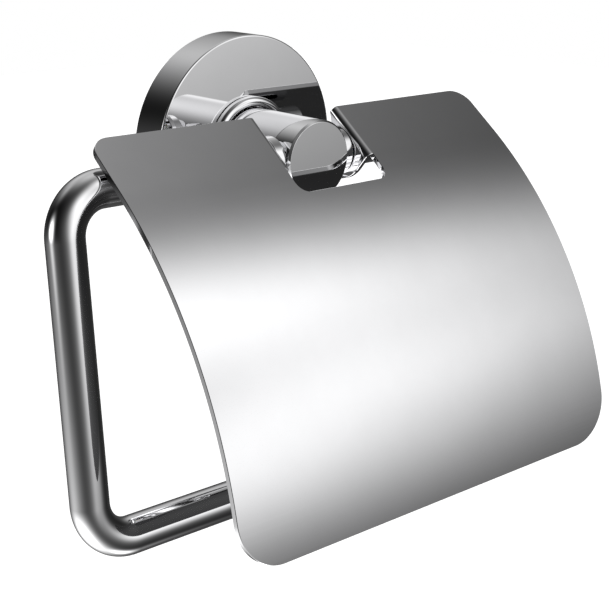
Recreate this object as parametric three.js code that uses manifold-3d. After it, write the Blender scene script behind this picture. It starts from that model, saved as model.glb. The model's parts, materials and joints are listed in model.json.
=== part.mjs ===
// Wall-mounted toilet paper holder with a lifting cover, in millimetres, +Z up.
// The wall is the plane y = 0 and the room lies towards -Y. The origin is the centre of the wall
// bracket's back face, on the axis of the round rosette and post. The rest pose is the cover closed.
import * as THREE from 'three';
import { mergeVertices } from 'three/addons/utils/BufferGeometryUtils.js';
import Module from 'manifold-3d';

const wasm = await Module();
wasm.setup();

// Driving dimensions.
const GAP = 0.3;
const RUNNING_GAP = 0.2;

const ROSETTE_RADIUS = 30;
const ROSETTE_DEPTH = 11.5;
const ROSETTE_WALL = 2;
const ROSETTE_EDGE_RADIUS = 0.5;

const BRACKET_RADIUS = 26.5;
const BRACKET_THICKNESS = 4;
const BRACKET_SLOT_OFFSET = 17;
const BRACKET_SLOT_WIDTH = 4.6;
const BRACKET_SLOT_LENGTH = 9;
const BRACKET_HUB_RADIUS = 9;

const COLLAR_RADIUS = 13.4;
const COLLAR_THICKNESS = 2.4;

const POST_RADIUS = 10.5;
const POST_END_Y = -40.4;
const POST_CHAMFER = 0.55;

const POST_SCREW_RADIUS = 2.8;
const POST_SCREW_HEAD_RADIUS = 5;
const POST_SCREW_HEAD_HEIGHT = 3.5;
const POST_SCREW_END_Y = -23;
const WASHER_RADIUS = 6;
const WASHER_THICKNESS = 1;

const BAR_RADIUS = 4.85;
const BAR_AXIS_Y = -32.9;
const BAR_BEND_RADIUS = 10.9;
const BAR_LEFT_X = -74;
const BAR_TOP_END_X = 36;
const BAR_BOTTOM_END_X = 60;
const BAR_DROP = 86;
const BAR_LEAN = 6.4 * Math.PI / 180;
const BAR_BORE_RADIUS = BAR_RADIUS + GAP;

const COVER_HALF_WIDTH = 64.9;
const COVER_THICKNESS = 1.5;
const COVER_TOP_Y = -30.5;
const COVER_TOP_Z = 11.5;
const COVER_SLOPE = 37.8 * Math.PI / 180;
const COVER_STRAIGHT = 16.2;
const COVER_ARC_RADIUS = 118;
const COVER_ARC_ANGLE = 45.6 * Math.PI / 180;
const COVER_TOP_CORNER = 5.5;
const COVER_BOTTOM_CORNER = 12.5;

const NOTCH_LENGTH = 26;
const NOTCH_HALF_WIDTH = 15.3;
const NOTCH_CORNER = 3.3;

const EAR_INNER_X = 13.5;
const EAR_RADIUS = 7.8;
const EAR_HOLE_RADIUS = 5.7;
const EAR_LENGTH = 17.9;
const EAR_FRONT_RADIUS = 10.2;
const EAR_FRONT_DISTANCE = 7.6;
const EAR_FRONT_DEPTH = 5.6;

const SPACER_RADIUS = 6.5;
const SPACER_INNER_X = 10.2;
const SPACER_OUTER_X = EAR_INNER_X - GAP;
const SPOTFACE_X = SPACER_INNER_X - GAP;
const SPOTFACE_RADIUS = SPACER_RADIUS + GAP;

const BUSH_LENGTH = 2.3;

const STOP_PIN_RADIUS = 1.25;
const STOP_PIN_Y = BAR_AXIS_Y + 13.4;
const STOP_PIN_Z = -2.4;
const STOP_PIN_INNER_X = 5;
const STOP_PIN_OUTER_X = 15.4;
const STOP_LUG_REACH = 15.2;
const STOP_LUG_DEPTH = 3.6;

const SET_SCREW_RADIUS = 2;
const SET_SCREW_LENGTH = 4.6;
const GRUB_SCREW_RADIUS = 1.8;
const GRUB_SCREW_LENGTH = 3.4;
const GRUB_SCREW_Y = -2.5;

const ROUND_STEPS = 48;
const SMALL_STEPS = 24;

// Finishes.
const chrome = (shade) => new THREE.MeshStandardMaterial({ color: shade, metalness: 1, roughness: 0.06 });
const zinc = () => new THREE.MeshStandardMaterial({ color: 0xa9abad, metalness: 0.9, roughness: 0.45 });
const steel = () => new THREE.MeshStandardMaterial({ color: 0x8e9092, metalness: 1, roughness: 0.3 });
const nylon = () => new THREE.MeshStandardMaterial({ color: 0xe9e8e3, metalness: 0, roughness: 0.5 });

// A closed geometry as a solid that can be joined and cut.
function toSolid(geometry) {
  const shell = (geometry.index ? geometry.toNonIndexed() : geometry).clone();
  shell.deleteAttribute('normal');
  shell.deleteAttribute('uv');
  const merged = mergeVertices(shell, 1e-4);
  const vertProperties = new Float32Array(merged.attributes.position.array);
  const triVerts = new Uint32Array(merged.index.array);
  const solid = new wasm.Manifold(new wasm.Mesh({ numProp: 3, vertProperties, triVerts }));
  if (solid.volume() > 0) return solid;
  for (let i = 0; i < triVerts.length; i += 3) {
    [triVerts[i], triVerts[i + 1]] = [triVerts[i + 1], triVerts[i]];
  }
  return new wasm.Manifold(new wasm.Mesh({ numProp: 3, vertProperties, triVerts }));
}

function toGeometry(solid) {
  const { vertProperties, triVerts } = solid.getMesh();
  const geometry = new THREE.BufferGeometry();
  geometry.setAttribute('position', new THREE.BufferAttribute(new Float32Array(vertProperties), 3));
  geometry.setIndex(new THREE.BufferAttribute(new Uint32Array(triVerts), 1));
  geometry.computeVertexNormals();
  return geometry;
}

function mesh(name, solid, material) {
  const node = new THREE.Mesh(toGeometry(solid), material);
  node.name = name;
  return node;
}

// A cylinder or cone frustum along an axis ('x', 'y' or 'z') from one coordinate to another.
function rod(axis, from, to, radius, steps = SMALL_STEPS) {
  const geometry = new THREE.CylinderGeometry(radius, radius, Math.abs(to - from), steps);
  geometry.translate(0, (from + to) / 2, 0);
  if (axis === 'x') geometry.rotateZ(-Math.PI / 2);
  if (axis === 'z') geometry.rotateX(Math.PI / 2);
  return geometry;
}

// A solid turned about the Y axis from a list of [radius, y] points.
function turned(profile, steps = ROUND_STEPS) {
  const points = profile.map(([radius, y]) => new THREE.Vector2(radius, y));
  return toSolid(new THREE.LatheGeometry(points, steps));
}

// Points of an arc about [cx, cy], as [x, y] pairs.
function arc(cx, cy, radius, startAngle, endAngle, steps) {
  const points = [];
  for (let i = 0; i <= steps; i += 1) {
    const angle = startAngle + (endAngle - startAngle) * i / steps;
    points.push([cx + radius * Math.cos(angle), cy + radius * Math.sin(angle)]);
  }
  return points;
}

// An outline given as [y, z] pairs, extruded along X between two planes.
function plateAcrossX(outline, fromX, toX) {
  const shape = new THREE.Shape(outline.map(([y, z]) => new THREE.Vector2(y, z)));
  const geometry = new THREE.ExtrudeGeometry(shape, { depth: toX - fromX, bevelEnabled: false });
  const turn = new THREE.Matrix4().makeBasis(
    new THREE.Vector3(0, 1, 0), new THREE.Vector3(0, 0, 1), new THREE.Vector3(1, 0, 0));
  geometry.applyMatrix4(turn);
  geometry.translate(fromX, 0, 0);
  return toSolid(geometry);
}

// A hexagon socket cut along an axis.
function hexSocket(axis, from, to, acrossFlats) {
  return toSolid(rod(axis, from, to, acrossFlats / Math.sqrt(3), 6));
}

// Cast plate screwed to the wall through two slots. The rosette slides over its rim.
function wallBracket() {
  const front = -BRACKET_THICKNESS;
  const hubFront = front - 1;
  let solid = turned([
    [0, 0], [BRACKET_RADIUS - 0.8, 0], [BRACKET_RADIUS, -0.8], [BRACKET_RADIUS, front + 0.6],
    [BRACKET_RADIUS - 0.6, front], [BRACKET_HUB_RADIUS, front], [BRACKET_HUB_RADIUS - 0.5, hubFront],
    [0, hubFront],
  ]);
  for (const side of [-1, 1]) {
    const slot = new THREE.Shape();
    const half = (BRACKET_SLOT_LENGTH - BRACKET_SLOT_WIDTH) / 2;
    slot.absarc(side * BRACKET_SLOT_OFFSET, half, BRACKET_SLOT_WIDTH / 2, 0, Math.PI);
    slot.absarc(side * BRACKET_SLOT_OFFSET, -half, BRACKET_SLOT_WIDTH / 2, Math.PI, 2 * Math.PI);
    const cutter = new THREE.ExtrudeGeometry(slot, { depth: 12, bevelEnabled: false, curveSegments: 10 });
    cutter.rotateX(Math.PI / 2);
    cutter.translate(0, 4, 0);
    solid = solid.subtract(toSolid(cutter));
  }
  const grubSeat = toSolid(rod('z', -BRACKET_RADIUS - 1, -BRACKET_RADIUS + 1.2, GRUB_SCREW_RADIUS + GAP)
    .translate(0, GRUB_SCREW_Y, 0));
  return mesh('wall_bracket', solid.subtract(grubSeat), zinc());
}

// Pressed cup that hides the bracket, with a small rounded front edge.
function rosette() {
  const inner = ROSETTE_RADIUS - ROSETTE_WALL;
  const face = -ROSETTE_DEPTH;
  const edge = ROSETTE_EDGE_RADIUS;
  const hole = POST_SCREW_RADIUS + GAP;
  const solid = turned([
    [hole, face],
    ...arc(ROSETTE_RADIUS - edge, face + edge, edge, -Math.PI / 2, 0, 5),
    [ROSETTE_RADIUS, -0.3], [ROSETTE_RADIUS - 0.3, 0], [inner, 0],
    [inner, face + ROSETTE_WALL + 0.8], [inner - 0.8, face + ROSETTE_WALL],
    [hole, face + ROSETTE_WALL], [hole, face],
  ]);
  const grubHole = rod('z', -ROSETTE_RADIUS - 1, -inner + 2, GRUB_SCREW_RADIUS + GAP);
  grubHole.translate(0, GRUB_SCREW_Y, 0);
  return mesh('rosette', solid.subtract(toSolid(grubHole)), chrome(0xd9dbdd));
}

// Grub screw under the rosette that clamps it to the bracket's rim.
function rosetteGrubScrew() {
  const outer = -ROSETTE_RADIUS + 0.5;
  const inner = outer + GRUB_SCREW_LENGTH;
  const body = toSolid(rod('z', outer, inner, GRUB_SCREW_RADIUS));
  const screw = body.subtract(hexSocket('z', outer - 1, outer + 1.6, 2));
  const node = mesh('rosette_grub_screw', screw, steel());
  node.position.y = GRUB_SCREW_Y;
  return node;
}

// Half-round trim ring round the foot of the post.
function collarRing() {
  const back = -ROSETTE_DEPTH - GAP;
  const inner = POST_RADIUS + GAP;
  const half = (COLLAR_RADIUS - inner) / 2;
  const solid = turned([
    [inner, back], [COLLAR_RADIUS, back],
    ...arc(COLLAR_RADIUS - half, back - COLLAR_THICKNESS + half, half, 0, -Math.PI, 12),
    [inner, back],
  ]);
  return mesh('collar_ring', solid, chrome(0xe6e7e9));
}

// Turned post, with the cross bore for the bar, the pin hole and its screw holes.
function post() {
  const back = -ROSETTE_DEPTH - GAP;
  const screwHole = POST_SCREW_RADIUS + GAP;
  const holeEnd = POST_SCREW_END_Y - GAP;
  let solid = turned([
    [screwHole, back], [POST_RADIUS - 0.3, back], [POST_RADIUS, back - 0.3],
    [POST_RADIUS, POST_END_Y + POST_CHAMFER], [POST_RADIUS - POST_CHAMFER, POST_END_Y], [0, POST_END_Y], [0, holeEnd], [screwHole, holeEnd], [screwHole, back],
  ]);
  const onBarAxis = (geometry) => toSolid(geometry.translate(0, BAR_AXIS_Y, 0));
  solid = solid.subtract(onBarAxis(rod('x', -20, 20, BAR_BORE_RADIUS, 32)));
  for (const side of [-1, 1]) {
    solid = solid.subtract(onBarAxis(rod('x', side * SPOTFACE_X, side * 20, SPOTFACE_RADIUS, 32)));
  }
  solid = solid.subtract(onBarAxis(rod('z', -20, 0, SET_SCREW_RADIUS + GAP)));
  const pinHole = rod('x', STOP_PIN_INNER_X - GAP, 20, STOP_PIN_RADIUS + GAP);
  pinHole.translate(0, STOP_PIN_Y, STOP_PIN_Z);
  return mesh('post', solid.subtract(toSolid(pinHole)), chrome(0xdcdee0));
}

// Screw through the rosette's face that pulls the post against it.
function postScrew() {
  const underHead = -ROSETTE_DEPTH + ROSETTE_WALL + WASHER_THICKNESS + 2 * GAP;
  const headTop = underHead + POST_SCREW_HEAD_HEIGHT - 1;
  const solid = turned([
    [0, POST_SCREW_END_Y], [POST_SCREW_RADIUS - 0.6, POST_SCREW_END_Y],
    [POST_SCREW_RADIUS, POST_SCREW_END_Y + 0.6], [POST_SCREW_RADIUS, underHead],
    [POST_SCREW_HEAD_RADIUS, underHead], [POST_SCREW_HEAD_RADIUS, headTop - 0.4],
    [POST_SCREW_HEAD_RADIUS - 0.4, headTop], [0, headTop],
  ], 32);
  return mesh('post_screw', solid.subtract(hexSocket('y', headTop - 1.6, headTop + 1, 4)), steel());
}

// Washer under the post screw's head.
function postWasher() {
  const front = -ROSETTE_DEPTH + ROSETTE_WALL + GAP;
  const back = front + WASHER_THICKNESS;
  const inner = POST_SCREW_RADIUS + GAP;
  const ring = [[inner, front], [WASHER_RADIUS, front], [WASHER_RADIUS, back], [inner, back], [inner, front]];
  return mesh('post_washer', turned(ring, 32), steel());
}

// Solid round bar bent to a C. The top leg passes through the post and carries the cover,
// and the bottom leg carries the roll. The C leans forward at the bottom about the top leg.
function holderBar() {
  const bend = BAR_BEND_RADIUS;
  const path = new THREE.CurvePath();
  const straight = (x1, z1, x2, z2) => path.add(
    new THREE.LineCurve3(new THREE.Vector3(x1, 0, z1), new THREE.Vector3(x2, 0, z2)));
  const corner = (x1, z1, cornerX, cornerZ, x2, z2) => {
    const k = 0.5523;
    const toward = (x, z) => new THREE.Vector3(x + (cornerX - x) * k, 0, z + (cornerZ - z) * k);
    path.add(new THREE.CubicBezierCurve3(
      new THREE.Vector3(x1, 0, z1), toward(x1, z1), toward(x2, z2), new THREE.Vector3(x2, 0, z2)));
  };
  const left = BAR_LEFT_X;
  straight(BAR_TOP_END_X - 0.8, 0, left + bend, 0);
  corner(left + bend, 0, left, 0, left, -bend);
  straight(left, -bend, left, -BAR_DROP + bend);
  corner(left, -BAR_DROP + bend, left, -BAR_DROP, left + bend, -BAR_DROP);
  straight(left + bend, -BAR_DROP, BAR_BOTTOM_END_X - 0.8, -BAR_DROP);
  const section = new THREE.Shape().absarc(0, 0, BAR_RADIUS, 0, 2 * Math.PI);
  let solid = toSolid(new THREE.ExtrudeGeometry(section, {
    steps: 80, curveSegments: 9, bevelEnabled: false, extrudePath: path,
  }));
  const noses = [[BAR_TOP_END_X, 0], [BAR_BOTTOM_END_X, -BAR_DROP]];
  for (const [x, z] of noses) {
    const nose = new THREE.CylinderGeometry(BAR_RADIUS - 0.8, BAR_RADIUS - 0.1, 0.9, 18);
    nose.rotateZ(-Math.PI / 2);
    nose.translate(x - 0.45, 0, z);
    solid = solid.add(toSolid(nose));
  }
  const node = mesh('holder_bar', solid, chrome(0xd2d4d6));
  node.rotation.x = -BAR_LEAN;
  node.position.y = BAR_AXIS_Y;
  return node;
}

// Set screw under the post's head that grips the bar.
function barSetScrew() {
  const outer = -POST_RADIUS + 0.6;
  const inner = outer + SET_SCREW_LENGTH;
  const body = toSolid(rod('z', outer, inner, SET_SCREW_RADIUS));
  const screw = body.subtract(hexSocket('z', outer - 1, outer + 2, 2.2));
  const node = mesh('bar_set_screw', screw, steel());
  node.position.y = BAR_AXIS_Y;
  return node;
}

// Ring on the bar that keeps the cover's ear off the post.
function spacerRing(name, side) {
  const inner = BAR_RADIUS + RUNNING_GAP;
  const from = SPACER_INNER_X;
  const to = SPACER_OUTER_X;
  const ring = [
    [inner, from], [SPACER_RADIUS - 0.2, from], [SPACER_RADIUS, from + 0.2],
    [SPACER_RADIUS, to - 0.3], [SPACER_RADIUS - 0.3, to], [inner, to], [inner, from],
  ];
  const node = mesh(name, turned(ring, 32), chrome(0xdddfe0));
  node.rotation.z = -side * Math.PI / 2;
  node.position.y = BAR_AXIS_Y;
  return node;
}

// Dowel in the post's right side that holds the closed cover clear of the roll.
function stopPin() {
  const length = STOP_PIN_OUTER_X - STOP_PIN_INNER_X;
  const chamfer = 0.3;
  const solid = turned([
    [0, 0], [STOP_PIN_RADIUS, 0], [STOP_PIN_RADIUS, length - chamfer],
    [STOP_PIN_RADIUS - chamfer, length], [0, length],
  ], SMALL_STEPS);
  const node = mesh('stop_pin', solid, steel());
  node.rotation.z = -Math.PI / 2;
  node.position.set(STOP_PIN_INNER_X, STOP_PIN_Y, STOP_PIN_Z);
  return node;
}

// A point of the cover's section: distance down the sheet from its top edge, depth below its
// outer face. Returns [y, z].
function onSheet(distance, depth) {
  const startY = COVER_TOP_Y - COVER_STRAIGHT * Math.cos(COVER_SLOPE);
  const startZ = COVER_TOP_Z - COVER_STRAIGHT * Math.sin(COVER_SLOPE);
  if (distance <= COVER_STRAIGHT) {
    return [
      COVER_TOP_Y - distance * Math.cos(COVER_SLOPE) + depth * Math.sin(COVER_SLOPE),
      COVER_TOP_Z - distance * Math.sin(COVER_SLOPE) - depth * Math.cos(COVER_SLOPE),
    ];
  }
  const centreY = startY + COVER_ARC_RADIUS * Math.sin(COVER_SLOPE);
  const centreZ = startZ - COVER_ARC_RADIUS * Math.cos(COVER_SLOPE);
  const angle = COVER_SLOPE + (distance - COVER_STRAIGHT) / COVER_ARC_RADIUS;
  const radius = COVER_ARC_RADIUS - depth;
  return [centreY - radius * Math.sin(angle), centreZ + radius * Math.cos(angle)];
}

// A flat shape drawn as [x, distance from a point of the sheet], cut square through the sheet there.
function sheetCutter(shape, distance, slope) {
  const cutter = new THREE.ExtrudeGeometry(shape, { depth: 24, bevelEnabled: false, curveSegments: 10 });
  cutter.translate(0, 0, -12);
  const [y, z] = onSheet(distance, 0);
  const down = new THREE.Vector3(0, -Math.cos(slope), -Math.sin(slope));
  const across = new THREE.Vector3(1, 0, 0);
  const turn = new THREE.Matrix4().makeBasis(across, down, new THREE.Vector3().crossVectors(across, down));
  cutter.applyMatrix4(turn);
  cutter.translate(0, y, z);
  return toSolid(cutter);
}

// The waste outside a rounded corner, at the side given by the sign of x and below or above.
function cornerWaste(side, radius, upward) {
  const edge = COVER_HALF_WIDTH;
  const far = edge + 3;
  const shape = new THREE.Shape();
  const inset = edge - radius;
  const sign = upward ? -1 : 1;
  const curve = arc(inset, -sign * radius, radius, 0, sign * Math.PI / 2, 10);
  shape.moveTo(side * far, -sign * radius);
  for (const [x, y] of curve) shape.lineTo(side * x, y);
  shape.lineTo(side * inset, sign * 3);
  shape.lineTo(side * far, sign * 3);
  shape.closePath();
  return shape;
}

// Side view of an ear: a round lobe on the bar's axis, with a larger arc up its front to the sheet.
function earOutline() {
  const frontCentre = onSheet(EAR_FRONT_DISTANCE, EAR_FRONT_DEPTH);
  const toward = Math.atan2(-frontCentre[1], BAR_AXIS_Y - frontCentre[0]);
  return [
    onSheet(0.4, 0.1),
    ...arc(BAR_AXIS_Y, 0, EAR_RADIUS, 1.22, toward, 24),
    ...arc(frontCentre[0], frontCentre[1], EAR_FRONT_RADIUS, toward, -Math.PI + COVER_SLOPE, 10),
    onSheet(EAR_LENGTH, 1.7),
    onSheet(EAR_LENGTH, 0.1),
  ];
}

// Sheet-metal cover: a curved sheet with a notch round the post, whose two sides are bent down
// into ears that turn on the bar. The right ear has a lug that rests under the stop pin.
function cover() {
  const total = COVER_STRAIGHT + COVER_ARC_RADIUS * COVER_ARC_ANGLE;
  const stations = [0, COVER_STRAIGHT];
  const arcSteps = 30;
  for (let i = 1; i <= arcSteps; i += 1) stations.push(COVER_STRAIGHT + (total - COVER_STRAIGHT) * i / arcSteps);
  const outline = [
    ...stations.map((distance) => onSheet(distance, 0)),
    ...stations.reverse().map((distance) => onSheet(distance, COVER_THICKNESS)),
  ];
  let solid = plateAcrossX(outline, -COVER_HALF_WIDTH, COVER_HALF_WIDTH);

  const endSlope = COVER_SLOPE + COVER_ARC_ANGLE;
  for (const side of [-1, 1]) {
    solid = solid.subtract(sheetCutter(cornerWaste(side, COVER_TOP_CORNER, true), 0, COVER_SLOPE));
    solid = solid.subtract(sheetCutter(cornerWaste(side, COVER_BOTTOM_CORNER, false), total, endSlope));
  }

  const notch = new THREE.Shape();
  const half = NOTCH_HALF_WIDTH;
  const corner = NOTCH_CORNER;
  notch.moveTo(-EAR_INNER_X, -5);
  notch.lineTo(EAR_INNER_X, -5);
  notch.lineTo(EAR_INNER_X, EAR_LENGTH);
  notch.lineTo(half, EAR_LENGTH);
  notch.absarc(half - corner, NOTCH_LENGTH - corner, corner, 0, Math.PI / 2);
  notch.absarc(-half + corner, NOTCH_LENGTH - corner, corner, Math.PI / 2, Math.PI);
  notch.lineTo(-half, EAR_LENGTH);
  notch.lineTo(-EAR_INNER_X, EAR_LENGTH);
  notch.closePath();
  solid = solid.subtract(sheetCutter(notch, 0, COVER_SLOPE));

  for (const side of [-1, 1]) {
    const inner = side * EAR_INNER_X;
    const outer = side * (EAR_INNER_X + COVER_THICKNESS);
    solid = solid.add(plateAcrossX(earOutline(), Math.min(inner, outer), Math.max(inner, outer)));
  }
  const lugTop = STOP_PIN_Z - STOP_PIN_RADIUS - GAP;
  const lug = [
    [BAR_AXIS_Y + 6.6, lugTop], [BAR_AXIS_Y + STOP_LUG_REACH, lugTop],
    [BAR_AXIS_Y + STOP_LUG_REACH, lugTop - 1.2], [BAR_AXIS_Y + STOP_LUG_REACH - 4, lugTop - STOP_LUG_DEPTH],
    [BAR_AXIS_Y + 5, lugTop - STOP_LUG_DEPTH],
  ];
  solid = solid.add(plateAcrossX(lug, EAR_INNER_X, EAR_INNER_X + COVER_THICKNESS));
  const hole = rod('x', -20, 20, EAR_HOLE_RADIUS, 32).translate(0, BAR_AXIS_Y, 0);
  return mesh('cover', solid.subtract(toSolid(hole)), chrome(0xc9cbcd));
}

// Plastic sleeve pressed into an ear's hole, running on the bar.
function earBush(name, side) {
  const inner = BAR_RADIUS + RUNNING_GAP;
  const outer = EAR_HOLE_RADIUS - RUNNING_GAP;
  const start = EAR_INNER_X + RUNNING_GAP;
  const end = start + BUSH_LENGTH;
  const ring = [
    [inner, start], [outer - 0.15, start], [outer, start + 0.15], [outer, end - 0.15],
    [outer - 0.15, end], [inner, end], [inner, start],
  ];
  const node = mesh(name, turned(ring, 32), nylon());
  node.rotation.z = -side * Math.PI / 2;
  node.position.y = BAR_AXIS_Y;
  return node;
}

const fixedParts = new THREE.Group();
fixedParts.add(wallBracket(), rosette(), rosetteGrubScrew(), collarRing(), post(), postScrew(), postWasher());
fixedParts.add(holderBar(), barSetScrew(), spacerRing('left_spacer_ring', -1), spacerRing('right_spacer_ring', 1));
fixedParts.add(stopPin());

const coverParts = new THREE.Group();
coverParts.add(cover(), earBush('left_ear_bush', -1), earBush('right_ear_bush', 1));

const holder = new THREE.Group();
holder.add(fixedParts, coverParts);

export default holder;
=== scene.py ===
import json
import math

import bmesh
import bpy
from mathutils import Matrix, Vector


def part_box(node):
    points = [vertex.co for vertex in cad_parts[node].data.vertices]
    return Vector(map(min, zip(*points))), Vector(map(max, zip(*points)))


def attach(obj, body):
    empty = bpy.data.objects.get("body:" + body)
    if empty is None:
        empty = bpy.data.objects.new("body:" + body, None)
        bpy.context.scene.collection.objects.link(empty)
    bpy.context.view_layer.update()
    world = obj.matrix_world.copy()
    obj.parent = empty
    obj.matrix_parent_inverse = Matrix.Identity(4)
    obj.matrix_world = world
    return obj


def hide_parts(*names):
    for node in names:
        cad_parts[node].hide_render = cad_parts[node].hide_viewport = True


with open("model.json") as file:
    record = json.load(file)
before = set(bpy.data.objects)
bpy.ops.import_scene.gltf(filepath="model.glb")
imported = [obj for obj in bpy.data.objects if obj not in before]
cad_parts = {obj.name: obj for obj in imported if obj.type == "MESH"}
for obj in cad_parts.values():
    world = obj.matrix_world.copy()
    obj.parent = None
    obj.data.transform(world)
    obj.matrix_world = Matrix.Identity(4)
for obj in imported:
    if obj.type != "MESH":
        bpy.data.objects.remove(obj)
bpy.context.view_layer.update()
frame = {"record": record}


# Studio. A long lens looks down at the holder from the room's left. The room is a white sweep
# with large soft lights: a wide bank in front of the cover, a strip at the left, fill from below
# and dimmer lights above and behind. The floor is far below and stays out of the polish.
MM = 0.001
CAMERA_PLACE = (-0.2375, -0.2971, 0.0693)
LOOK_DOWN = math.radians(14.51)
LOOK_RIGHT = math.radians(39.3)
camera_data = bpy.data.cameras.new("studio_camera")
camera_data.sensor_fit = "HORIZONTAL"
camera_data.sensor_width = 36.0
camera_data.lens = 80.865
camera_data.shift_x = 0.1096
camera_data.shift_y = -0.105
camera_data.clip_start = 0.01
camera = bpy.data.objects.new("studio_camera", camera_data)
camera.location = CAMERA_PLACE
camera.rotation_euler = (math.pi / 2 - LOOK_DOWN, 0, -LOOK_RIGHT)
bpy.context.scene.collection.objects.link(camera)
bpy.context.scene.camera = camera
bpy.context.scene.view_settings.view_transform = "Standard"
bpy.context.scene.view_settings.look = "None"

# Each light: degrees right of straight into the room, degrees up, tightness, brightness.
SOFT_LIGHTS = (
    # The front bank: two low panels side by side, two narrower ones at the right, two upper
    # panels, and a wide veil over all of them.
    (10, 5, 20, 0.8),
    (35, 5, 25, 0.75),
    (45, 15, 60, 0.4),
    (50, 30, 35, 0.6),
    (40, 45, 25, 1.0),
    (0, 30, 20, 0.9),
    (10, 15, 4, 0.3),
    # A narrow strip at the left, which draws the bright lines along the bar.
    (-115, 5, 45, 4.0),
    # Fill from below: two broad panels at the left and a small one at the right.
    (-90, -60, 9, 1.8),
    (-130, -55, 9, 1.75),
    (60, -75, 55, 2.4),
    # Dim panels overhead and behind the wall's line, for the flat top and the post.
    (135, 70, 11, 0.6),
    (170, 40, 20, 0.5),
    (135, 30, 20, 0.5),
    (-155, 50, 35, 0.3),
    (140, -25, 5, 0.07),
)
AMBIENT = 0.002


def soft_studio(world):
    world.use_nodes = True
    nodes, links = world.node_tree.nodes, world.node_tree.links
    nodes.clear()
    direction = nodes.new("ShaderNodeTexCoord").outputs["Generated"]
    total = None
    for azimuth, elevation, tightness, brightness in SOFT_LIGHTS:
        across, up = math.radians(azimuth), math.radians(elevation)
        toward = (math.sin(across) * math.cos(up), -math.cos(across) * math.cos(up), math.sin(up))
        dot = nodes.new("ShaderNodeVectorMath")
        dot.operation = "DOT_PRODUCT"
        links.new(direction, dot.inputs[0])
        dot.inputs[1].default_value = toward
        fall = nodes.new("ShaderNodeMath")
        fall.operation = "MULTIPLY_ADD"
        links.new(dot.outputs["Value"], fall.inputs[0])
        fall.inputs[1].default_value = tightness
        fall.inputs[2].default_value = -tightness
        glow = nodes.new("ShaderNodeMath")
        glow.operation = "EXPONENT"
        links.new(fall.outputs[0], glow.inputs[0])
        add = nodes.new("ShaderNodeMath")
        add.operation = "MULTIPLY_ADD"
        links.new(glow.outputs[0], add.inputs[0])
        add.inputs[1].default_value = brightness
        add.inputs[2].default_value = AMBIENT
        if total is not None:
            links.new(total, add.inputs[2])
        total = add.outputs[0]
    lights = nodes.new("ShaderNodeBackground")
    lights.inputs["Color"].default_value = (1, 1, 1, 1)
    links.new(total, lights.inputs["Strength"])
    sweep = nodes.new("ShaderNodeBackground")
    sweep.inputs["Color"].default_value = (1, 1, 1, 1)
    seen = nodes.new("ShaderNodeLightPath")
    mix = nodes.new("ShaderNodeMixShader")
    links.new(seen.outputs["Is Camera Ray"], mix.inputs["Fac"])
    links.new(lights.outputs[0], mix.inputs[1])
    links.new(sweep.outputs[0], mix.inputs[2])
    output = nodes.new("ShaderNodeOutputWorld")
    links.new(mix.outputs[0], output.inputs["Surface"])


studio = bpy.data.worlds.new("soft_studio")
bpy.context.scene.world = studio
soft_studio(studio)

FLOOR_DROP = 0.9
FLOOR_HALF = 6.0
floor_mesh = bpy.data.meshes.new("pale_floor")
corners = ((-1, -1), (1, -1), (1, 1), (-1, 1))
floor_points = [(x * FLOOR_HALF, y * FLOOR_HALF, -FLOOR_DROP) for x, y in corners]
floor_mesh.from_pydata(floor_points, [], [(0, 1, 2, 3)])
floor = bpy.data.objects.new("pale_floor", floor_mesh)
bpy.context.scene.collection.objects.link(floor)
floor_paint = bpy.data.materials.new("pale_floor_paint")
floor_paint.use_nodes = True
floor_shader = floor_paint.node_tree.nodes["Principled BSDF"]
floor_shader.inputs["Base Color"].default_value = (0.92, 0.92, 0.92, 1)
floor_shader.inputs["Roughness"].default_value = 0.8
floor_shader.inputs["Emission Color"].default_value = (1, 1, 1, 1)
floor_shader.inputs["Emission Strength"].default_value = 0.9
floor_mesh.materials.append(floor_paint)
floor.visible_glossy = False


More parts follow.
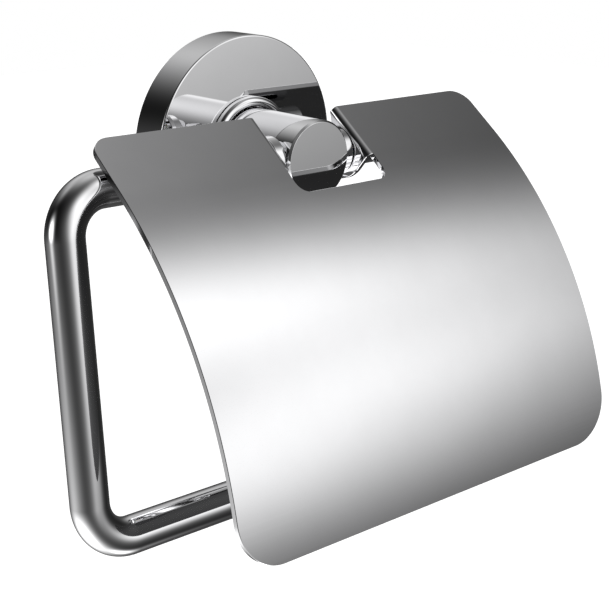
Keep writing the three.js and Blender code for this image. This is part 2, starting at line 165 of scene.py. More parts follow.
# Rosette: a pressed brass cup that covers the wall bracket. It is turned on a lathe round the post's
# axis, polished and chrome plated, and a grub screw from below holds it on the bracket's rim.
# The polish marks are shared by all the plated pieces: faint cloudy buffing and hairline wiping marks.
def polish_marks_group():
    group = bpy.data.node_groups.new("polish_marks", "ShaderNodeTree")
    for name, low, high in (("Cloud Scale", 0, 2000), ("Roughness Low", 0, 1), ("Roughness High", 0, 1),
                            ("Dark", 0, 1), ("Light", 0, 1)):
        socket = group.interface.new_socket(name, in_out="INPUT", socket_type="NodeSocketFloat")
        socket.min_value, socket.max_value = low, high
    for name, kind in (("Color", "NodeSocketColor"), ("Roughness", "NodeSocketFloat"),
                       ("Height", "NodeSocketFloat")):
        group.interface.new_socket(name, in_out="OUTPUT", socket_type=kind)
    nodes, links = group.nodes, group.links
    inputs, outputs = nodes.new("NodeGroupInput"), nodes.new("NodeGroupOutput")
    place = nodes.new("ShaderNodeTexCoord").outputs["Object"]
    clouds = nodes.new("ShaderNodeTexNoise")
    clouds.inputs["Detail"].default_value = 5
    clouds.inputs["Roughness"].default_value = 0.6
    links.new(place, clouds.inputs["Vector"])
    links.new(inputs.outputs["Cloud Scale"], clouds.inputs["Scale"])
    wipe = nodes.new("ShaderNodeMapping")
    wipe.inputs["Rotation"].default_value = (0.3, 0.5, 0.4)
    wipe.inputs["Scale"].default_value = (3000, 120, 240)
    links.new(place, wipe.inputs["Vector"])
    hairlines = nodes.new("ShaderNodeTexNoise")
    hairlines.inputs["Scale"].default_value = 1.0
    hairlines.inputs["Detail"].default_value = 2
    links.new(wipe.outputs[0], hairlines.inputs["Vector"])

    def ranged(value, low, high):
        node = nodes.new("ShaderNodeMapRange")
        node.inputs["From Min"].default_value = 0.3
        node.inputs["From Max"].default_value = 0.7
        links.new(value, node.inputs["Value"])
        links.new(low, node.inputs["To Min"])
        links.new(high, node.inputs["To Max"])
        return node.outputs[0]

    cloud = clouds.outputs["Fac"]
    roughness = ranged(cloud, inputs.outputs["Roughness Low"], inputs.outputs["Roughness High"])
    links.new(roughness, outputs.inputs["Roughness"])
    shade = ranged(cloud, inputs.outputs["Dark"], inputs.outputs["Light"])
    cool = nodes.new("ShaderNodeMath")
    cool.operation = "MULTIPLY"
    links.new(shade, cool.inputs[0])
    cool.inputs[1].default_value = 1.012
    color = nodes.new("ShaderNodeCombineColor")
    links.new(shade, color.inputs["Red"])
    links.new(shade, color.inputs["Green"])
    links.new(cool.outputs[0], color.inputs["Blue"])
    links.new(color.outputs[0], outputs.inputs["Color"])
    links.new(hairlines.outputs["Fac"], outputs.inputs["Height"])
    return group


polish_marks = polish_marks_group()


def plated(name, dark, light, smooth, dull, bump=0.004):
    material = bpy.data.materials.new(name)
    material.use_nodes = True
    nodes, links = material.node_tree.nodes, material.node_tree.links
    shader = nodes["Principled BSDF"]
    shader.inputs["Metallic"].default_value = 1.0
    marks = nodes.new("ShaderNodeGroup")
    marks.node_tree = polish_marks
    marks.inputs["Cloud Scale"].default_value = 55
    marks.inputs["Roughness Low"].default_value = smooth
    marks.inputs["Roughness High"].default_value = dull
    marks.inputs["Dark"].default_value = dark
    marks.inputs["Light"].default_value = light
    links.new(marks.outputs["Color"], shader.inputs["Base Color"])
    links.new(marks.outputs["Roughness"], shader.inputs["Roughness"])
    relief = nodes.new("ShaderNodeBump")
    relief.inputs["Strength"].default_value = bump
    relief.inputs["Distance"].default_value = 0.00001
    links.new(marks.outputs["Height"], relief.inputs["Height"])
    links.new(relief.outputs[0], shader.inputs["Normal"])
    return material


FILLET_STEPS = 10
HOLD = 0.02 * MM


# Outline of a turned piece: [radius, position, edge rounding] corners, in order round the section.
def rounded_section(corners):
    section = []
    count = len(corners)
    closed = corners[0][0] > 0 or corners[-1][0] > 0
    for i, (radius, along, fillet) in enumerate(corners):
        here = Vector((radius, along))
        if fillet == 0 or (not closed and i in (0, count - 1)):
            section.append(here)
            continue
        back = (Vector(corners[i - 1][:2]) - here).normalized()
        ahead = (Vector(corners[(i + 1) % count][:2]) - here).normalized()
        half = back.angle(ahead) / 2
        reach = fillet / math.tan(half)
        centre = here + (back + ahead).normalized() * fillet / math.sin(half)
        start, end = here + back * reach, here + ahead * reach
        section.append(start + back * HOLD)
        sweep_from, sweep_to = start - centre, end - centre
        turn = sweep_from.angle_signed(sweep_to)
        for k in range(FILLET_STEPS + 1):
            section.append(centre + Matrix.Rotation(-turn * k / FILLET_STEPS, 2) @ sweep_from)
        section.append(end + ahead * HOLD)
    return section


# A piece turned on a lathe. The axis runs from a centre along a unit direction.
def turned(name, corners, centre, direction, steps=160):
    section = rounded_section(corners)
    hollow = corners[0][0] > 0
    axis = Vector(direction)
    side = Vector((0, 0, 1)) if abs(axis.z) < 0.9 else Vector((1, 0, 0))
    up = axis.cross(side)
    rings = []
    work = bmesh.new()
    for point in section:
        base = Vector(centre) + axis * point.y
        if point.x < 1e-9:
            rings.append([work.verts.new(base)])
            continue
        angles = [2 * math.pi * i / steps for i in range(steps)]
        spokes = [side * math.cos(angle) + up * math.sin(angle) for angle in angles]
        rings.append([work.verts.new(base + spoke * point.x) for spoke in spokes])
    pairs = list(zip(rings, rings[1:]))
    if hollow:
        pairs.append((rings[-1], rings[0]))
    for one, other in pairs:
        for i in range(steps):
            j = (i + 1) % steps
            if len(one) == 1 and len(other) > 1:
                work.faces.new((one[0], other[i], other[j]))
            elif len(other) == 1 and len(one) > 1:
                work.faces.new((one[i], one[j], other[0]))
            elif len(one) > 1:
                work.faces.new((one[i], one[j], other[j], other[i]))
    return finished(name, work)


def finished(name, work, sharp=35):
    bmesh.ops.recalc_face_normals(work, faces=work.faces)
    mesh = bpy.data.meshes.new(name)
    work.to_mesh(mesh)
    work.free()
    mesh.shade_smooth()
    mesh.set_sharp_from_angle(angle=math.radians(sharp))
    piece = bpy.data.objects.new(name, mesh)
    bpy.context.scene.collection.objects.link(piece)
    return piece


# Cuts one piece with others, which are then thrown away.
def cut(piece, cutters):
    for cutter in cutters:
        modifier = piece.modifiers.new("cut", "BOOLEAN")
        modifier.operation = "DIFFERENCE"
        modifier.solver = "EXACT"
        modifier.object = cutter
    bpy.context.view_layer.update()
    result = bpy.data.meshes.new_from_object(piece.evaluated_get(bpy.context.evaluated_depsgraph_get()))
    piece.modifiers.clear()
    piece.data = result
    result.shade_smooth()
    result.set_sharp_from_angle(angle=math.radians(35))
    for cutter in cutters:
        bpy.data.objects.remove(cutter)


def placed(piece, body, node, material):
    piece.data.materials.clear()
    piece.data.materials.append(material)
    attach(piece, body)
    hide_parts(node)


rosette_low, rosette_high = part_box("rosette")
rosette_radius = rosette_high.x
rosette_front = rosette_low.y
ROSETTE_WALL = 2 * MM
ROSETTE_HOLE = 3.1 * MM
screw_low, screw_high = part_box("rosette_grub_screw")
grub_y = (screw_low.y + screw_high.y) / 2
grub_radius = (screw_high.x - screw_low.x) / 2
rosette_chrome = plated("rosette_chrome", 0.80, 0.83, 0.015, 0.035)
rosette = turned("rosette_cup", [
    (ROSETTE_HOLE, rosette_front, 0), (rosette_radius, rosette_front, 0.5 * MM),
    (rosette_radius, 0, 0.3 * MM), (rosette_radius - ROSETTE_WALL, 0, 0.2 * MM),
    (rosette_radius - ROSETTE_WALL, rosette_front + ROSETTE_WALL, 0.8 * MM),
    (ROSETTE_HOLE, rosette_front + ROSETTE_WALL, 0),
], (0, 0, 0), (0, 1, 0), 224)
cut(rosette, [turned("grub_hole", [
    (0, -rosette_radius - 2 * MM, 0), (grub_radius + 0.15 * MM, -rosette_radius - 2 * MM, 0),
    (grub_radius + 0.15 * MM, -rosette_radius + 4 * MM, 0), (0, -rosette_radius + 4 * MM, 0),
], (0, grub_y, 0), (0, 0, 1), 48)])
placed(rosette, "wall_body", "rosette", rosette_chrome)


# Collar: a separate rounded ring pushed over the post's foot. It hides the joint between the
# post and the rosette, and is plated like them.
collar_low, collar_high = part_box("collar_ring")
post_low, post_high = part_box("post")
post_radius = post_high.x
collar_radius = collar_high.x
collar_inner = post_radius + 0.3 * MM
collar_bead = (collar_radius - collar_inner) / 2 - 0.02 * MM
post_chrome = plated("post_chrome", 0.82, 0.85, 0.015, 0.03)
collar = turned("collar_bead", [
    (collar_inner, collar_high.y, 0.1 * MM), (collar_radius, collar_high.y, 0.1 * MM),
    (collar_radius, collar_low.y, collar_bead), (collar_inner, collar_low.y, collar_bead),
], (0, 0, 0), (0, 1, 0), 192)
placed(collar, "wall_body", "collar_ring", post_chrome)


# Post: a plain round bar of brass turned to length, with a small chamfer round its flat end.
# The holder bar passes through it sideways, and a screw from behind pulls it against the rosette.
hinge = Vector(frame["record"]["behaviour"]["joints"][0]["pos_m"])
spacer_low, spacer_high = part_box("right_spacer_ring")
spacer_radius = spacer_high.z
pin_low, pin_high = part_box("stop_pin")
pin_centre = (pin_low + pin_high) / 2
set_low, set_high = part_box("bar_set_screw")
set_radius = (set_high.x - set_low.x) / 2
bar_radius = 4.85 * MM
POST_CHAMFER = 0.55 * MM
POST_EDGE = 0.12 * MM
POST_BORE_END = -23.3 * MM
post = turned("round_post", [
    (0, post_low.y, 0), (post_radius - POST_CHAMFER, post_low.y, POST_EDGE),
    (post_radius, post_low.y + POST_CHAMFER, POST_EDGE), (post_radius, post_high.y, 0.3 * MM),
    (3.1 * MM, post_high.y, 0), (3.1 * MM, POST_BORE_END, 0), (0, POST_BORE_END, 0),
], (0, 0, 0), (0, 1, 0), 224)


def drill(name, start, end, radius, axis, steps=64):
    length = (Vector(end) - Vector(start)).length
    section = [(0, 0, 0), (radius, 0, 0), (radius, length, 0), (0, length, 0)]
    return turned(name, section, start, axis, steps)


spot = spacer_low.x - 0.2 * MM
reach = 14 * MM
cut(post, [
    drill("bar_bore", (-reach, hinge.y, 0), (reach, hinge.y, 0), bar_radius + 0.15 * MM, (1, 0, 0), 96),
    drill("right_seat", (spot, hinge.y, 0), (reach, hinge.y, 0), spacer_radius + 0.15 * MM, (1, 0, 0), 96),
    drill("left_seat", (-reach, hinge.y, 0), (-spot, hinge.y, 0), spacer_radius + 0.15 * MM, (1, 0, 0), 96),
    drill("set_hole", (0, hinge.y, -reach), (0, hinge.y, -2 * MM), set_radius + 0.15 * MM, (0, 0, 1)),
    drill("pin_hole", (pin_low.x, pin_centre.y, pin_centre.z), (reach, pin_centre.y, pin_centre.z),
          1.4 * MM, (1, 0, 0)),
])
placed(post, "wall_body", "post", post_chrome)


# Holder bar: one 9.7 mm round bar bent twice to a C and plated. It goes through the post's
# head, and a set screw from below grips it there. The lower leg leans a little into the room.
bar_low, bar_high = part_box("holder_bar")
bar_chrome = plated("bar_chrome", 0.79, 0.82, 0.015, 0.035)
BAR_BEND = 10.9 * MM
BAR_LEAN = math.radians(6.4)
BAR_DROP = 86.0 * MM
BAR_TOP_END = 36 * MM
BAR_BOTTOM_END = 60 * MM
BAR_NOSE = 0.8 * MM
bar_left = bar_low.x + bar_radius
bottom_y = hinge.y - BAR_DROP * math.sin(BAR_LEAN)
bottom_z = -BAR_DROP * math.cos(BAR_LEAN)


def bent_bar_tree():
    tree = bpy.data.node_groups.new("bent_bar", "GeometryNodeTree")
    tree.interface.new_socket("Route", in_out="INPUT", socket_type="NodeSocketGeometry")
    for name in ("Bar Radius", "Bend Radius"):
        tree.interface.new_socket(name, in_out="INPUT", socket_type="NodeSocketFloat")
    for name in ("Bend Steps", "Sides"):
        tree.interface.new_socket(name, in_out="INPUT", socket_type="NodeSocketInt")
    tree.interface.new_socket("Finish", in_out="INPUT", socket_type="NodeSocketMaterial")
    tree.interface.new_socket("Bar", in_out="OUTPUT", socket_type="NodeSocketGeometry")
    nodes, links = tree.nodes, tree.links
    inputs, outputs = nodes.new("NodeGroupInput"), nodes.new("NodeGroupOutput")
    route = nodes.new("GeometryNodeMeshToCurve")
    links.new(inputs.outputs["Route"], route.inputs["Mesh"])
    bends = nodes.new("GeometryNodeFilletCurve")
    bends.mode = "POLY"
    links.new(route.outputs["Curve"], bends.inputs["Curve"])
    links.new(inputs.outputs["Bend Radius"], bends.inputs["Radius"])
    links.new(inputs.outputs["Bend Steps"], bends.inputs["Count"])
    round_section = nodes.new("GeometryNodeCurvePrimitiveCircle")
    links.new(inputs.outputs["Bar Radius"], round_section.inputs["Radius"])
    links.new(inputs.outputs["Sides"], round_section.inputs["Resolution"])
    sweep = nodes.new("GeometryNodeCurveToMesh")
    sweep.inputs["Fill Caps"].default_value = True
    links.new(bends.outputs["Curve"], sweep.inputs["Curve"])
    links.new(round_section.outputs["Curve"], sweep.inputs["Profile Curve"])
    real = nodes.new("GeometryNodeRealizeInstances")
    links.new(sweep.outputs["Mesh"], real.inputs["Geometry"])
    finish = nodes.new("GeometryNodeSetMaterial")
    links.new(real.outputs["Geometry"], finish.inputs["Geometry"])
    links.new(inputs.outputs["Finish"], finish.inputs["Material"])
    links.new(finish.outputs["Geometry"], outputs.inputs["Bar"])
    return tree


route_mesh = bpy.data.meshes.new("bar_route")
route_mesh.from_pydata([
    (BAR_TOP_END, hinge.y, 0), (bar_left, hinge.y, 0),
    (bar_left, bottom_y, bottom_z), (BAR_BOTTOM_END, bottom_y, bottom_z),
], [(0, 1), (1, 2), (2, 3)], [])
bar_route = bpy.data.objects.new("bar_route", route_mesh)
bpy.context.scene.collection.objects.link(bar_route)
bar_tree = bent_bar_tree()
bending = bar_route.modifiers.new("bending", "NODES")
bending.node_group = bar_tree
bar_sizes = {"Bar Radius": bar_radius, "Bend Radius": BAR_BEND, "Bend Steps": 48, "Sides": 96,
             "Finish": bar_chrome}
for socket in bar_tree.interface.items_tree:
    if socket.in_out == "INPUT" and socket.name in bar_sizes:
        bending[socket.identifier] = bar_sizes[socket.name]
bpy.context.view_layer.update()
swept = bpy.data.meshes.new_from_object(bar_route.evaluated_get(bpy.context.evaluated_depsgraph_get()))
bpy.data.objects.remove(bar_route)
work = bmesh.new()
work.from_mesh(swept)
bmesh.ops.remove_doubles(work, verts=work.verts, dist=0.001 * MM)
ends = [face for face in work.faces if len(face.verts) > 4]
rims = [edge for face in ends for edge in face.edges]
bmesh.ops.bevel(work, geom=rims, offset=BAR_NOSE, segments=5, profile=0.5, affect="EDGES")
holder_bar = finished("bent_holder_bar", work, sharp=50)
placed(holder_bar, "wall_body", "holder_bar", bar_chrome)


# Spacer rings: short plated rings on the bar that sit in shallow seats on the post's sides and
# keep the cover's ears off the post.
for side, node in ((-1, "left_spacer_ring"), (1, "right_spacer_ring")):
    ring = turned(node.replace("_ring", "_sleeve"), [
        (bar_radius + 0.08 * MM, spacer_low.x, 0), (spacer_radius, spacer_low.x, 0.2 * MM),
        (spacer_radius, spacer_high.x, 0.35 * MM), (bar_radius + 0.08 * MM, spacer_high.x, 0.1 * MM),
    ], (0, hinge.y, 0), (side, 0, 0), 128)
    placed(ring, "wall_body", node, post_chrome)


# Cover: one sheet of steel 1.5 mm thick, cut flat with its two ears, folded at the sides of the
# notch, rolled to a large curve below a flat top, and plated. Its outline is drawn on the flat
# blank in millimetres: u across, s down from the top edge, w below the outer face.
COVER_THICK = 1.5
COVER_SLOPE = math.radians(37.8)
COVER_STRAIGHT = 16.2
COVER_CURVE = 118.0
COVER_LENGTH = COVER_STRAIGHT + COVER_CURVE * math.radians(45.6)
TOP_CORNER = 5.5
BOTTOM_CORNER = 12.5
NOTCH_END = 26.0
NOTCH_HALF = 15.3
NOTCH_CORNER = 3.3
FOLD_RADIUS = 1.8
EAR_END = 17.9
EAR_LOBE = 7.8
EAR_HOLE = 5.7
EAR_FRONT = (7.6, 5.6, 10.2)
EAR_START = 212
BURR = 0.12
SPREAD = 20.0
# Where the top edge lies: behind the hinge axis, and above it.
TOP_BEHIND = 2.4
TOP_ABOVE = 11.5
cover_low, cover_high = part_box("cover")
half_width = cover_high.x / MM
hinge_y = hinge.y / MM
top_y = hinge_y + TOP_BEHIND
fold_length = FOLD_RADIUS * math.pi / 2
slope_cos, slope_sin = math.cos(COVER_SLOPE), math.sin(COVER_SLOPE)
# The hinge axis on the blank: how far down the sheet it lies, and how deep below it.
hinge_s = (top_y - hinge_y) * slope_cos + TOP_ABOVE * slope_sin
hinge_depth = (hinge_y - top_y) * slope_sin + TOP_ABOVE * slope_cos


def sheet_point(x, s, depth):
    if s <= COVER_STRAIGHT:
        y = top_y - s * slope_cos + depth * slope_sin
        return Vector((x, y, TOP_ABOVE - s * slope_sin - depth * slope_cos)) * MM
    centre_y = top_y - COVER_STRAIGHT * slope_cos + COVER_CURVE * slope_sin
    centre_z = TOP_ABOVE - COVER_STRAIGHT * slope_sin - COVER_CURVE * slope_cos
    angle = COVER_SLOPE + (s - COVER_STRAIGHT) / COVER_CURVE
    radius = COVER_CURVE - depth
    return Vector((x, centre_y - radius * math.sin(angle), centre_z + radius * math.cos(angle))) * MM


# Folds and rolls one point of the blank. The blank is drawn with its middle spread apart so
# that the ears, turned inwards from the fold lines, have room beside each other.
def folded(point):
    u, s, w = point
    side = 1 if u >= 0 else -1
    inward = NOTCH_HALF + SPREAD - abs(u)
    if inward <= 0:
        return sheet_point(u - side * SPREAD, s, w)
    if s > EAR_END + 0.01:
        return sheet_point(u * NOTCH_HALF / (NOTCH_HALF + SPREAD), s, w)
    angle = min(inward / FOLD_RADIUS, math.pi / 2)
    x = NOTCH_HALF - (FOLD_RADIUS - w) * math.sin(angle)
    depth = FOLD_RADIUS - (FOLD_RADIUS - w) * math.cos(angle) + max(inward - fold_length, 0)
    return sheet_point(side * x, s, depth)


def arc_points(centre_u, centre_s, radius, start, end, steps):
    angles = [math.radians(start + (end - start) * i / steps) for i in range(steps + 1)]
    return [Vector((centre_u + radius * math.cos(a), centre_s + radius * math.sin(a))) for a in angles]


# Points of an ear, given down the sheet and in depth below it, turned back on the blank.
def ear_points(points):
    return [Vector((NOTCH_HALF + SPREAD - fold_length - (p.y - FOLD_RADIUS), p.x)) for p in points]


# The stop lug is level with the stop pin's underside when the cover is closed.
LUG_REACH = 15.2
LUG_DEPTH = 3.6
LUG_CORNER = 0.3
LUG_TIP = 1.2
LUG_TAPER = 4
lug_top = pin_low.z / MM - 0.3


def on_sheet(y, z):
    return Vector((hinge_s - y * slope_cos - z * slope_sin, hinge_depth + y * slope_sin - z * slope_cos))


def seen_from_hinge(point):
    return math.degrees(math.atan2(point.y - hinge_depth, point.x - hinge_s))


def ear_outline(with_lug):
    lobe = (hinge_s, hinge_depth, EAR_LOBE)
    front = math.degrees(math.atan2(hinge_depth - EAR_FRONT[1], hinge_s - EAR_FRONT[0]))
    points = arc_points(*lobe, EAR_START, front, 60)
    if with_lug:
        lug_base = lug_top - LUG_DEPTH
        upper = seen_from_hinge(on_sheet(math.sqrt(EAR_LOBE ** 2 - lug_top ** 2), lug_top))
        lower = seen_from_hinge(on_sheet(math.sqrt(EAR_LOBE ** 2 - lug_base ** 2), lug_base))
        corners = ((LUG_REACH - LUG_CORNER, lug_top), (LUG_REACH, lug_top - LUG_CORNER),
                   (LUG_REACH, lug_top - LUG_TIP), (LUG_REACH - LUG_TAPER, lug_base))
        points = arc_points(*lobe, EAR_START, upper, 40) + [on_sheet(y, z) for y, z in corners]
        points += arc_points(*lobe, lower, front, 8)
    points += arc_points(*EAR_FRONT, front, 0, 24)[1:]
    return [Vector((min(point.x, EAR_END), point.y)) for point in points]


# Half of the outline, from the bottom edge round the corner, up the side, along the top edge,
# round the ear and down the notch.
def half_outline(with_lug):
    fold_line = NOTCH_HALF + SPREAD
    ear_line = fold_line - fold_length
    edge = half_width + SPREAD
    notch = arc_points(NOTCH_HALF - NOTCH_CORNER, NOTCH_END - NOTCH_CORNER, NOTCH_CORNER, 0, 90, 12)
    return [
        *arc_points(edge - BOTTOM_CORNER, COVER_LENGTH - BOTTOM_CORNER, BOTTOM_CORNER, 90, 0, 28),
        *arc_points(edge - TOP_CORNER, TOP_CORNER, TOP_CORNER, 0, -90, 18),
        Vector((fold_line, 0)), Vector((ear_line, 0.3)), *ear_points(ear_outline(with_lug)),
        Vector((ear_line, EAR_END)), Vector((fold_line, EAR_END)),
        *[Vector((fold_line + (p.x - NOTCH_HALF) * fold_line / NOTCH_HALF, p.y)) for p in notch],
    ]


right_half, left_half = half_outline(True), half_outline(False)
outline = right_half + [Vector((-point.x, point.y)) for point in reversed(left_half)]


# Moves every corner of the outline into the metal, for the small chamfer all round.
def inset(loop, distance):
    moved = []
    for i, point in enumerate(loop):
        back = (point - loop[i - 1]).normalized()
        ahead = (loop[(i + 1) % len(loop)] - point).normalized()
        normal = Vector((back.y, -back.x))
        middle = (normal + Vector((ahead.y, -ahead.x))).normalized()
        moved.append(point + middle * distance / max(middle.dot(normal), 0.5))
    return moved


turning = sum(a.x * b.y - b.x * a.y for a, b in zip(outline, outline[1:] + outline[:1]))
chamfered = inset(outline, -math.copysign(BURR, turning))
levels = ((chamfered, 0), (outline, BURR), (outline, COVER_THICK - BURR), (chamfered, COVER_THICK))
work = bmesh.new()
rings = [[work.verts.new((p.x, p.y, w)) for p in loop] for loop, w in levels]
for upper, lower in zip(rings, rings[1:]):
    for i in range(len(outline)):
        j = (i + 1) % len(outline)
        work.faces.new((upper[i], upper[j], lower[j], lower[i]))
work.faces.new(rings[0])
work.faces.new(rings[-1])


def score(across, down):
    place = (across, down, 0)
    normal = (1, 0, 0) if down == 0 else (0, 1, 0)
    geom = work.verts[:] + work.edges[:] + work.faces[:]
    bmesh.ops.bisect_plane(work, geom=geom, plane_co=place, plane_no=normal, dist=1e-5)


# Rows across the curve and columns down the folds, so that both bend smoothly.
score(0, EAR_END + 0.02)
score(0, COVER_STRAIGHT - 0.3)
curve_rows = round(COVER_LENGTH - COVER_STRAIGHT)
for i in range(curve_rows):
    score(0, COVER_STRAIGHT + (COVER_LENGTH - COVER_STRAIGHT) * i / curve_rows)
FOLD_STEPS = 8
BESIDE_FOLD = 0.15
for side in (-1, 1):
    score(side * (NOTCH_HALF + SPREAD + BESIDE_FOLD), 0)
    for i in range(FOLD_STEPS + 1):
        score(side * (NOTCH_HALF + SPREAD - fold_length * i / FOLD_STEPS), 0)
    score(side * (NOTCH_HALF + SPREAD - fold_length - BESIDE_FOLD), 0)
for vert in work.verts:
    vert.co = folded(vert.co)
cover_chrome = plated("cover_chrome", 0.80, 0.83, 0.02, 0.045)
cover = finished("rolled_cover", work)
ear_x = (NOTCH_HALF - FOLD_RADIUS) * MM
for side in (-1, 1):
    drill_name = "right_ear_hole" if side > 0 else "left_ear_hole"
    cut(cover, [drill(drill_name, (side * (ear_x - MM), hinge.y, 0), (side * (ear_x + 3 * MM), hinge.y, 0),
                      EAR_HOLE * MM, (side, 0, 0), 96)])
placed(cover, "cover_body", "cover", cover_chrome)


# Ear bushes: white nylon sleeves pressed into the ears' holes. The cover turns on them
# round the bar.
def mottled(name, scale, detail, dark, light, smooth, dull):
    material = bpy.data.materials.new(name)
    material.use_nodes = True
    nodes, links = material.node_tree.nodes, material.node_tree.links
    shader = nodes["Principled BSDF"]
    place = nodes.new("ShaderNodeTexCoord").outputs["Object"]
    grain = nodes.new("ShaderNodeTexNoise")
    grain.inputs["Scale"].default_value = scale
    grain.inputs["Detail"].default_value = detail
    links.new(place, grain.inputs["Vector"])
    shade = nodes.new("ShaderNodeValToRGB")
    shade.color_ramp.elements[0].color = (*dark, 1)
    shade.color_ramp.elements[1].color = (*light, 1)
    links.new(grain.outputs["Fac"], shade.inputs["Fac"])
    links.new(shade.outputs["Color"], shader.inputs["Base Color"])
    finish = nodes.new("ShaderNodeMapRange")
    finish.inputs["To Min"].default_value = smooth
    finish.inputs["To Max"].default_value = dull
    links.new(grain.outputs["Fac"], finish.inputs["Value"])
    links.new(finish.outputs[0], shader.inputs["Roughness"])
    return material, shader, grain


nylon, nylon_shader, _ = mottled("nylon", 400, 3, (0.70, 0.69, 0.66), (0.80, 0.79, 0.77), 0.4, 0.6)
nylon_shader.inputs["IOR"].default_value = 1.53
nylon_shader.inputs["Subsurface Weight"].default_value = 0.1
nylon_shader.inputs["Subsurface Scale"].default_value = 0.0005
for side, node in ((-1, "left_ear_bush"), (1, "right_ear_bush")):
    bush_low, bush_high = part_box(node)
    near = min(abs(bush_low.x), abs(bush_high.x))
    far = max(abs(bush_low.x), abs(bush_high.x))
    outside = bush_high.z
    bore = bar_radius + 0.2 * MM
    bush = turned(node.replace("_ear_bush", "_sleeve_bush"), [
        (bore, near, 0.1 * MM), (outside, near, 0.15 * MM),
        (outside, far, 0.15 * MM), (bore, far, 0.1 * MM),
    ], (0, hinge.y, 0), (side, 0, 0), 112)
    placed(bush, "cover_body", node, nylon)


# Stop pin: a turned steel pin pressed into the post's right side. The lug of the right ear comes
# up under it and keeps the closed cover off the paper.
screw_steel, steel_shader, _ = mottled(
    "screw_steel", 900, 4, (0.42, 0.42, 0.43), (0.56, 0.56, 0.57), 0.22, 0.4)
steel_shader.inputs["Metallic"].default_value = 1.0
pin_radius = (pin_high.z - pin_low.z) / 2
stop_pin = turned("pressed_stop_pin", [
    (0, pin_low.x, 0), (pin_radius, pin_low.x, 0.2 * MM),
    (pin_radius, pin_high.x, 0.3 * MM), (0, pin_high.x, 0),
], (0, pin_centre.y, pin_centre.z), (1, 0, 0), 64)
placed(stop_pin, "wall_body", "stop_pin", screw_steel)


# Socket screws: the grub screw that holds the rosette, the set screw that grips the bar, and the
# screw from behind that pulls the post up. All are steel with a hexagon socket.
def hex_socket(name, start, direction, across_flats, depth):
    work = bmesh.new()
    turn = Vector((0, 0, 1)).rotation_difference(Vector(direction)).to_matrix().to_4x4()
    bmesh.ops.create_cone(work, cap_ends=True, segments=6, radius1=across_flats / math.sqrt(3),
                          radius2=across_flats / math.sqrt(3), depth=2 * depth,
                          matrix=Matrix.Translation(start) @ turn)
    return finished(name, work)


def grub(name, node, y):
    low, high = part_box(node)
    radius = (high.x - low.x) / 2
    screw = turned(name, [
        (0, low.z, 0), (radius, low.z, 0.25 * MM), (radius, high.z, 0.4 * MM), (0, high.z, 0),
    ], (0, y, 0), (0, 0, 1), 72)
    cut(screw, [hex_socket("key_socket", (0, y, low.z), (0, 0, 1), radius, 1.6 * MM)])
    placed(screw, "wall_body", node, screw_steel)


grub("rosette_socket_screw", "rosette_grub_screw", grub_y)
grub("bar_socket_screw", "bar_set_screw", hinge.y)
bolt_low, bolt_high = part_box("post_screw")
BOLT_RADIUS = 2.8 * MM
BOLT_HEAD = bolt_high.x
washer_low, washer_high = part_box("post_washer")
post_screw = turned("post_cap_screw", [
    (0, bolt_low.y, 0), (BOLT_RADIUS, bolt_low.y, 0.4 * MM), (BOLT_RADIUS, washer_high.y, 0),
    (BOLT_HEAD, washer_high.y, 0.1 * MM), (BOLT_HEAD, bolt_high.y, 0.3 * MM), (0, bolt_high.y, 0),
], (0, 0, 0), (0, 1, 0), 96)
cut(post_screw, [hex_socket("post_key_socket", (0, bolt_high.y, 0), (0, 1, 0), 4 * MM, 1.8 * MM)])
placed(post_screw, "wall_body", "post_screw", screw_steel)


# Washer under the post screw's head: a stamped steel ring, slightly rounded on its front.
washer = turned("stamped_washer", [
    (BOLT_RADIUS + 0.3 * MM, washer_low.y, 0.1 * MM), (washer_high.x, washer_low.y, 0.25 * MM),
    (washer_high.x, washer_high.y, 0.1 * MM), (BOLT_RADIUS + 0.3 * MM, washer_high.y, 0.1 * MM),
], (0, 0, 0), (0, 1, 0), 96)
placed(washer, "wall_body", "post_washer", screw_steel)


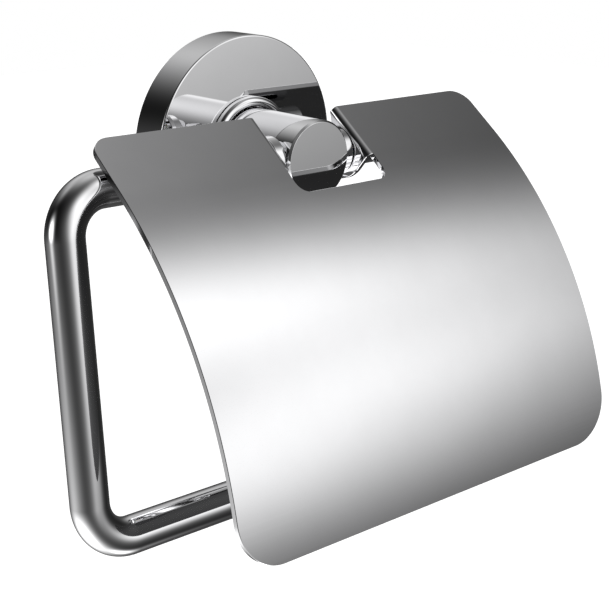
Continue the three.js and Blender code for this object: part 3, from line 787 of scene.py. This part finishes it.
# Wall bracket: a cast zinc plate with a low hub, turned on its rim, with two slots for the wall
# screws and a small seat below for the rosette's grub screw. It is hidden inside the rosette.
zinc, zinc_shader, zinc_skin = mottled(
    "cast_zinc", 1200, 5, (0.33, 0.34, 0.35), (0.50, 0.51, 0.52), 0.4, 0.65)
zinc_shader.inputs["Metallic"].default_value = 0.9
cast_relief = zinc.node_tree.nodes.new("ShaderNodeBump")
cast_relief.inputs["Strength"].default_value = 0.3
cast_relief.inputs["Distance"].default_value = 0.00005
zinc.node_tree.links.new(zinc_skin.outputs["Fac"], cast_relief.inputs["Height"])
zinc.node_tree.links.new(cast_relief.outputs[0], zinc_shader.inputs["Normal"])


# A slot cutter: a flat-sided bar with round ends, standing along the wall's normal.
def slot_cutter(name, x, width, length, start, end):
    half = (length - width) / 2
    rim = arc_points(x, half, width / 2, 0, 180, 20) + arc_points(x, -half, width / 2, 180, 360, 20)
    work = bmesh.new()
    near = [work.verts.new((p.x, start, p.y)) for p in rim]
    far = [work.verts.new((p.x, end, p.y)) for p in rim]
    work.faces.new(near)
    work.faces.new(far)
    for i in range(len(rim)):
        j = (i + 1) % len(rim)
        work.faces.new((near[i], near[j], far[j], far[i]))
    return finished(name, work)


bracket_low, bracket_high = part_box("wall_bracket")
bracket_radius = bracket_high.x
HUB_RADIUS = 9 * MM
plate_front = bracket_low.y + 1 * MM
SLOT_OFFSET, SLOT_WIDTH, SLOT_LENGTH = 17 * MM, 4.6 * MM, 9 * MM
bracket = turned("cast_bracket", [
    (0, 0, 0), (bracket_radius, 0, 0.8 * MM), (bracket_radius, plate_front, 0.6 * MM),
    (HUB_RADIUS, plate_front, 0.4 * MM), (HUB_RADIUS - 0.3 * MM, bracket_low.y, 0.4 * MM),
    (0, bracket_low.y, 0),
], (0, 0, 0), (0, 1, 0), 160)
cut(bracket, [
    slot_cutter("left_slot", -SLOT_OFFSET, SLOT_WIDTH, SLOT_LENGTH, -9 * MM, 4 * MM),
    slot_cutter("right_slot", SLOT_OFFSET, SLOT_WIDTH, SLOT_LENGTH, -9 * MM, 4 * MM),
    drill("grub_seat", (0, grub_y, -bracket_radius - 2 * MM), (0, grub_y, -bracket_radius + 1.2 * MM),
          grub_radius + 0.3 * MM, (0, 0, 1)),
])
placed(bracket, "wall_body", "wall_bracket", zinc)
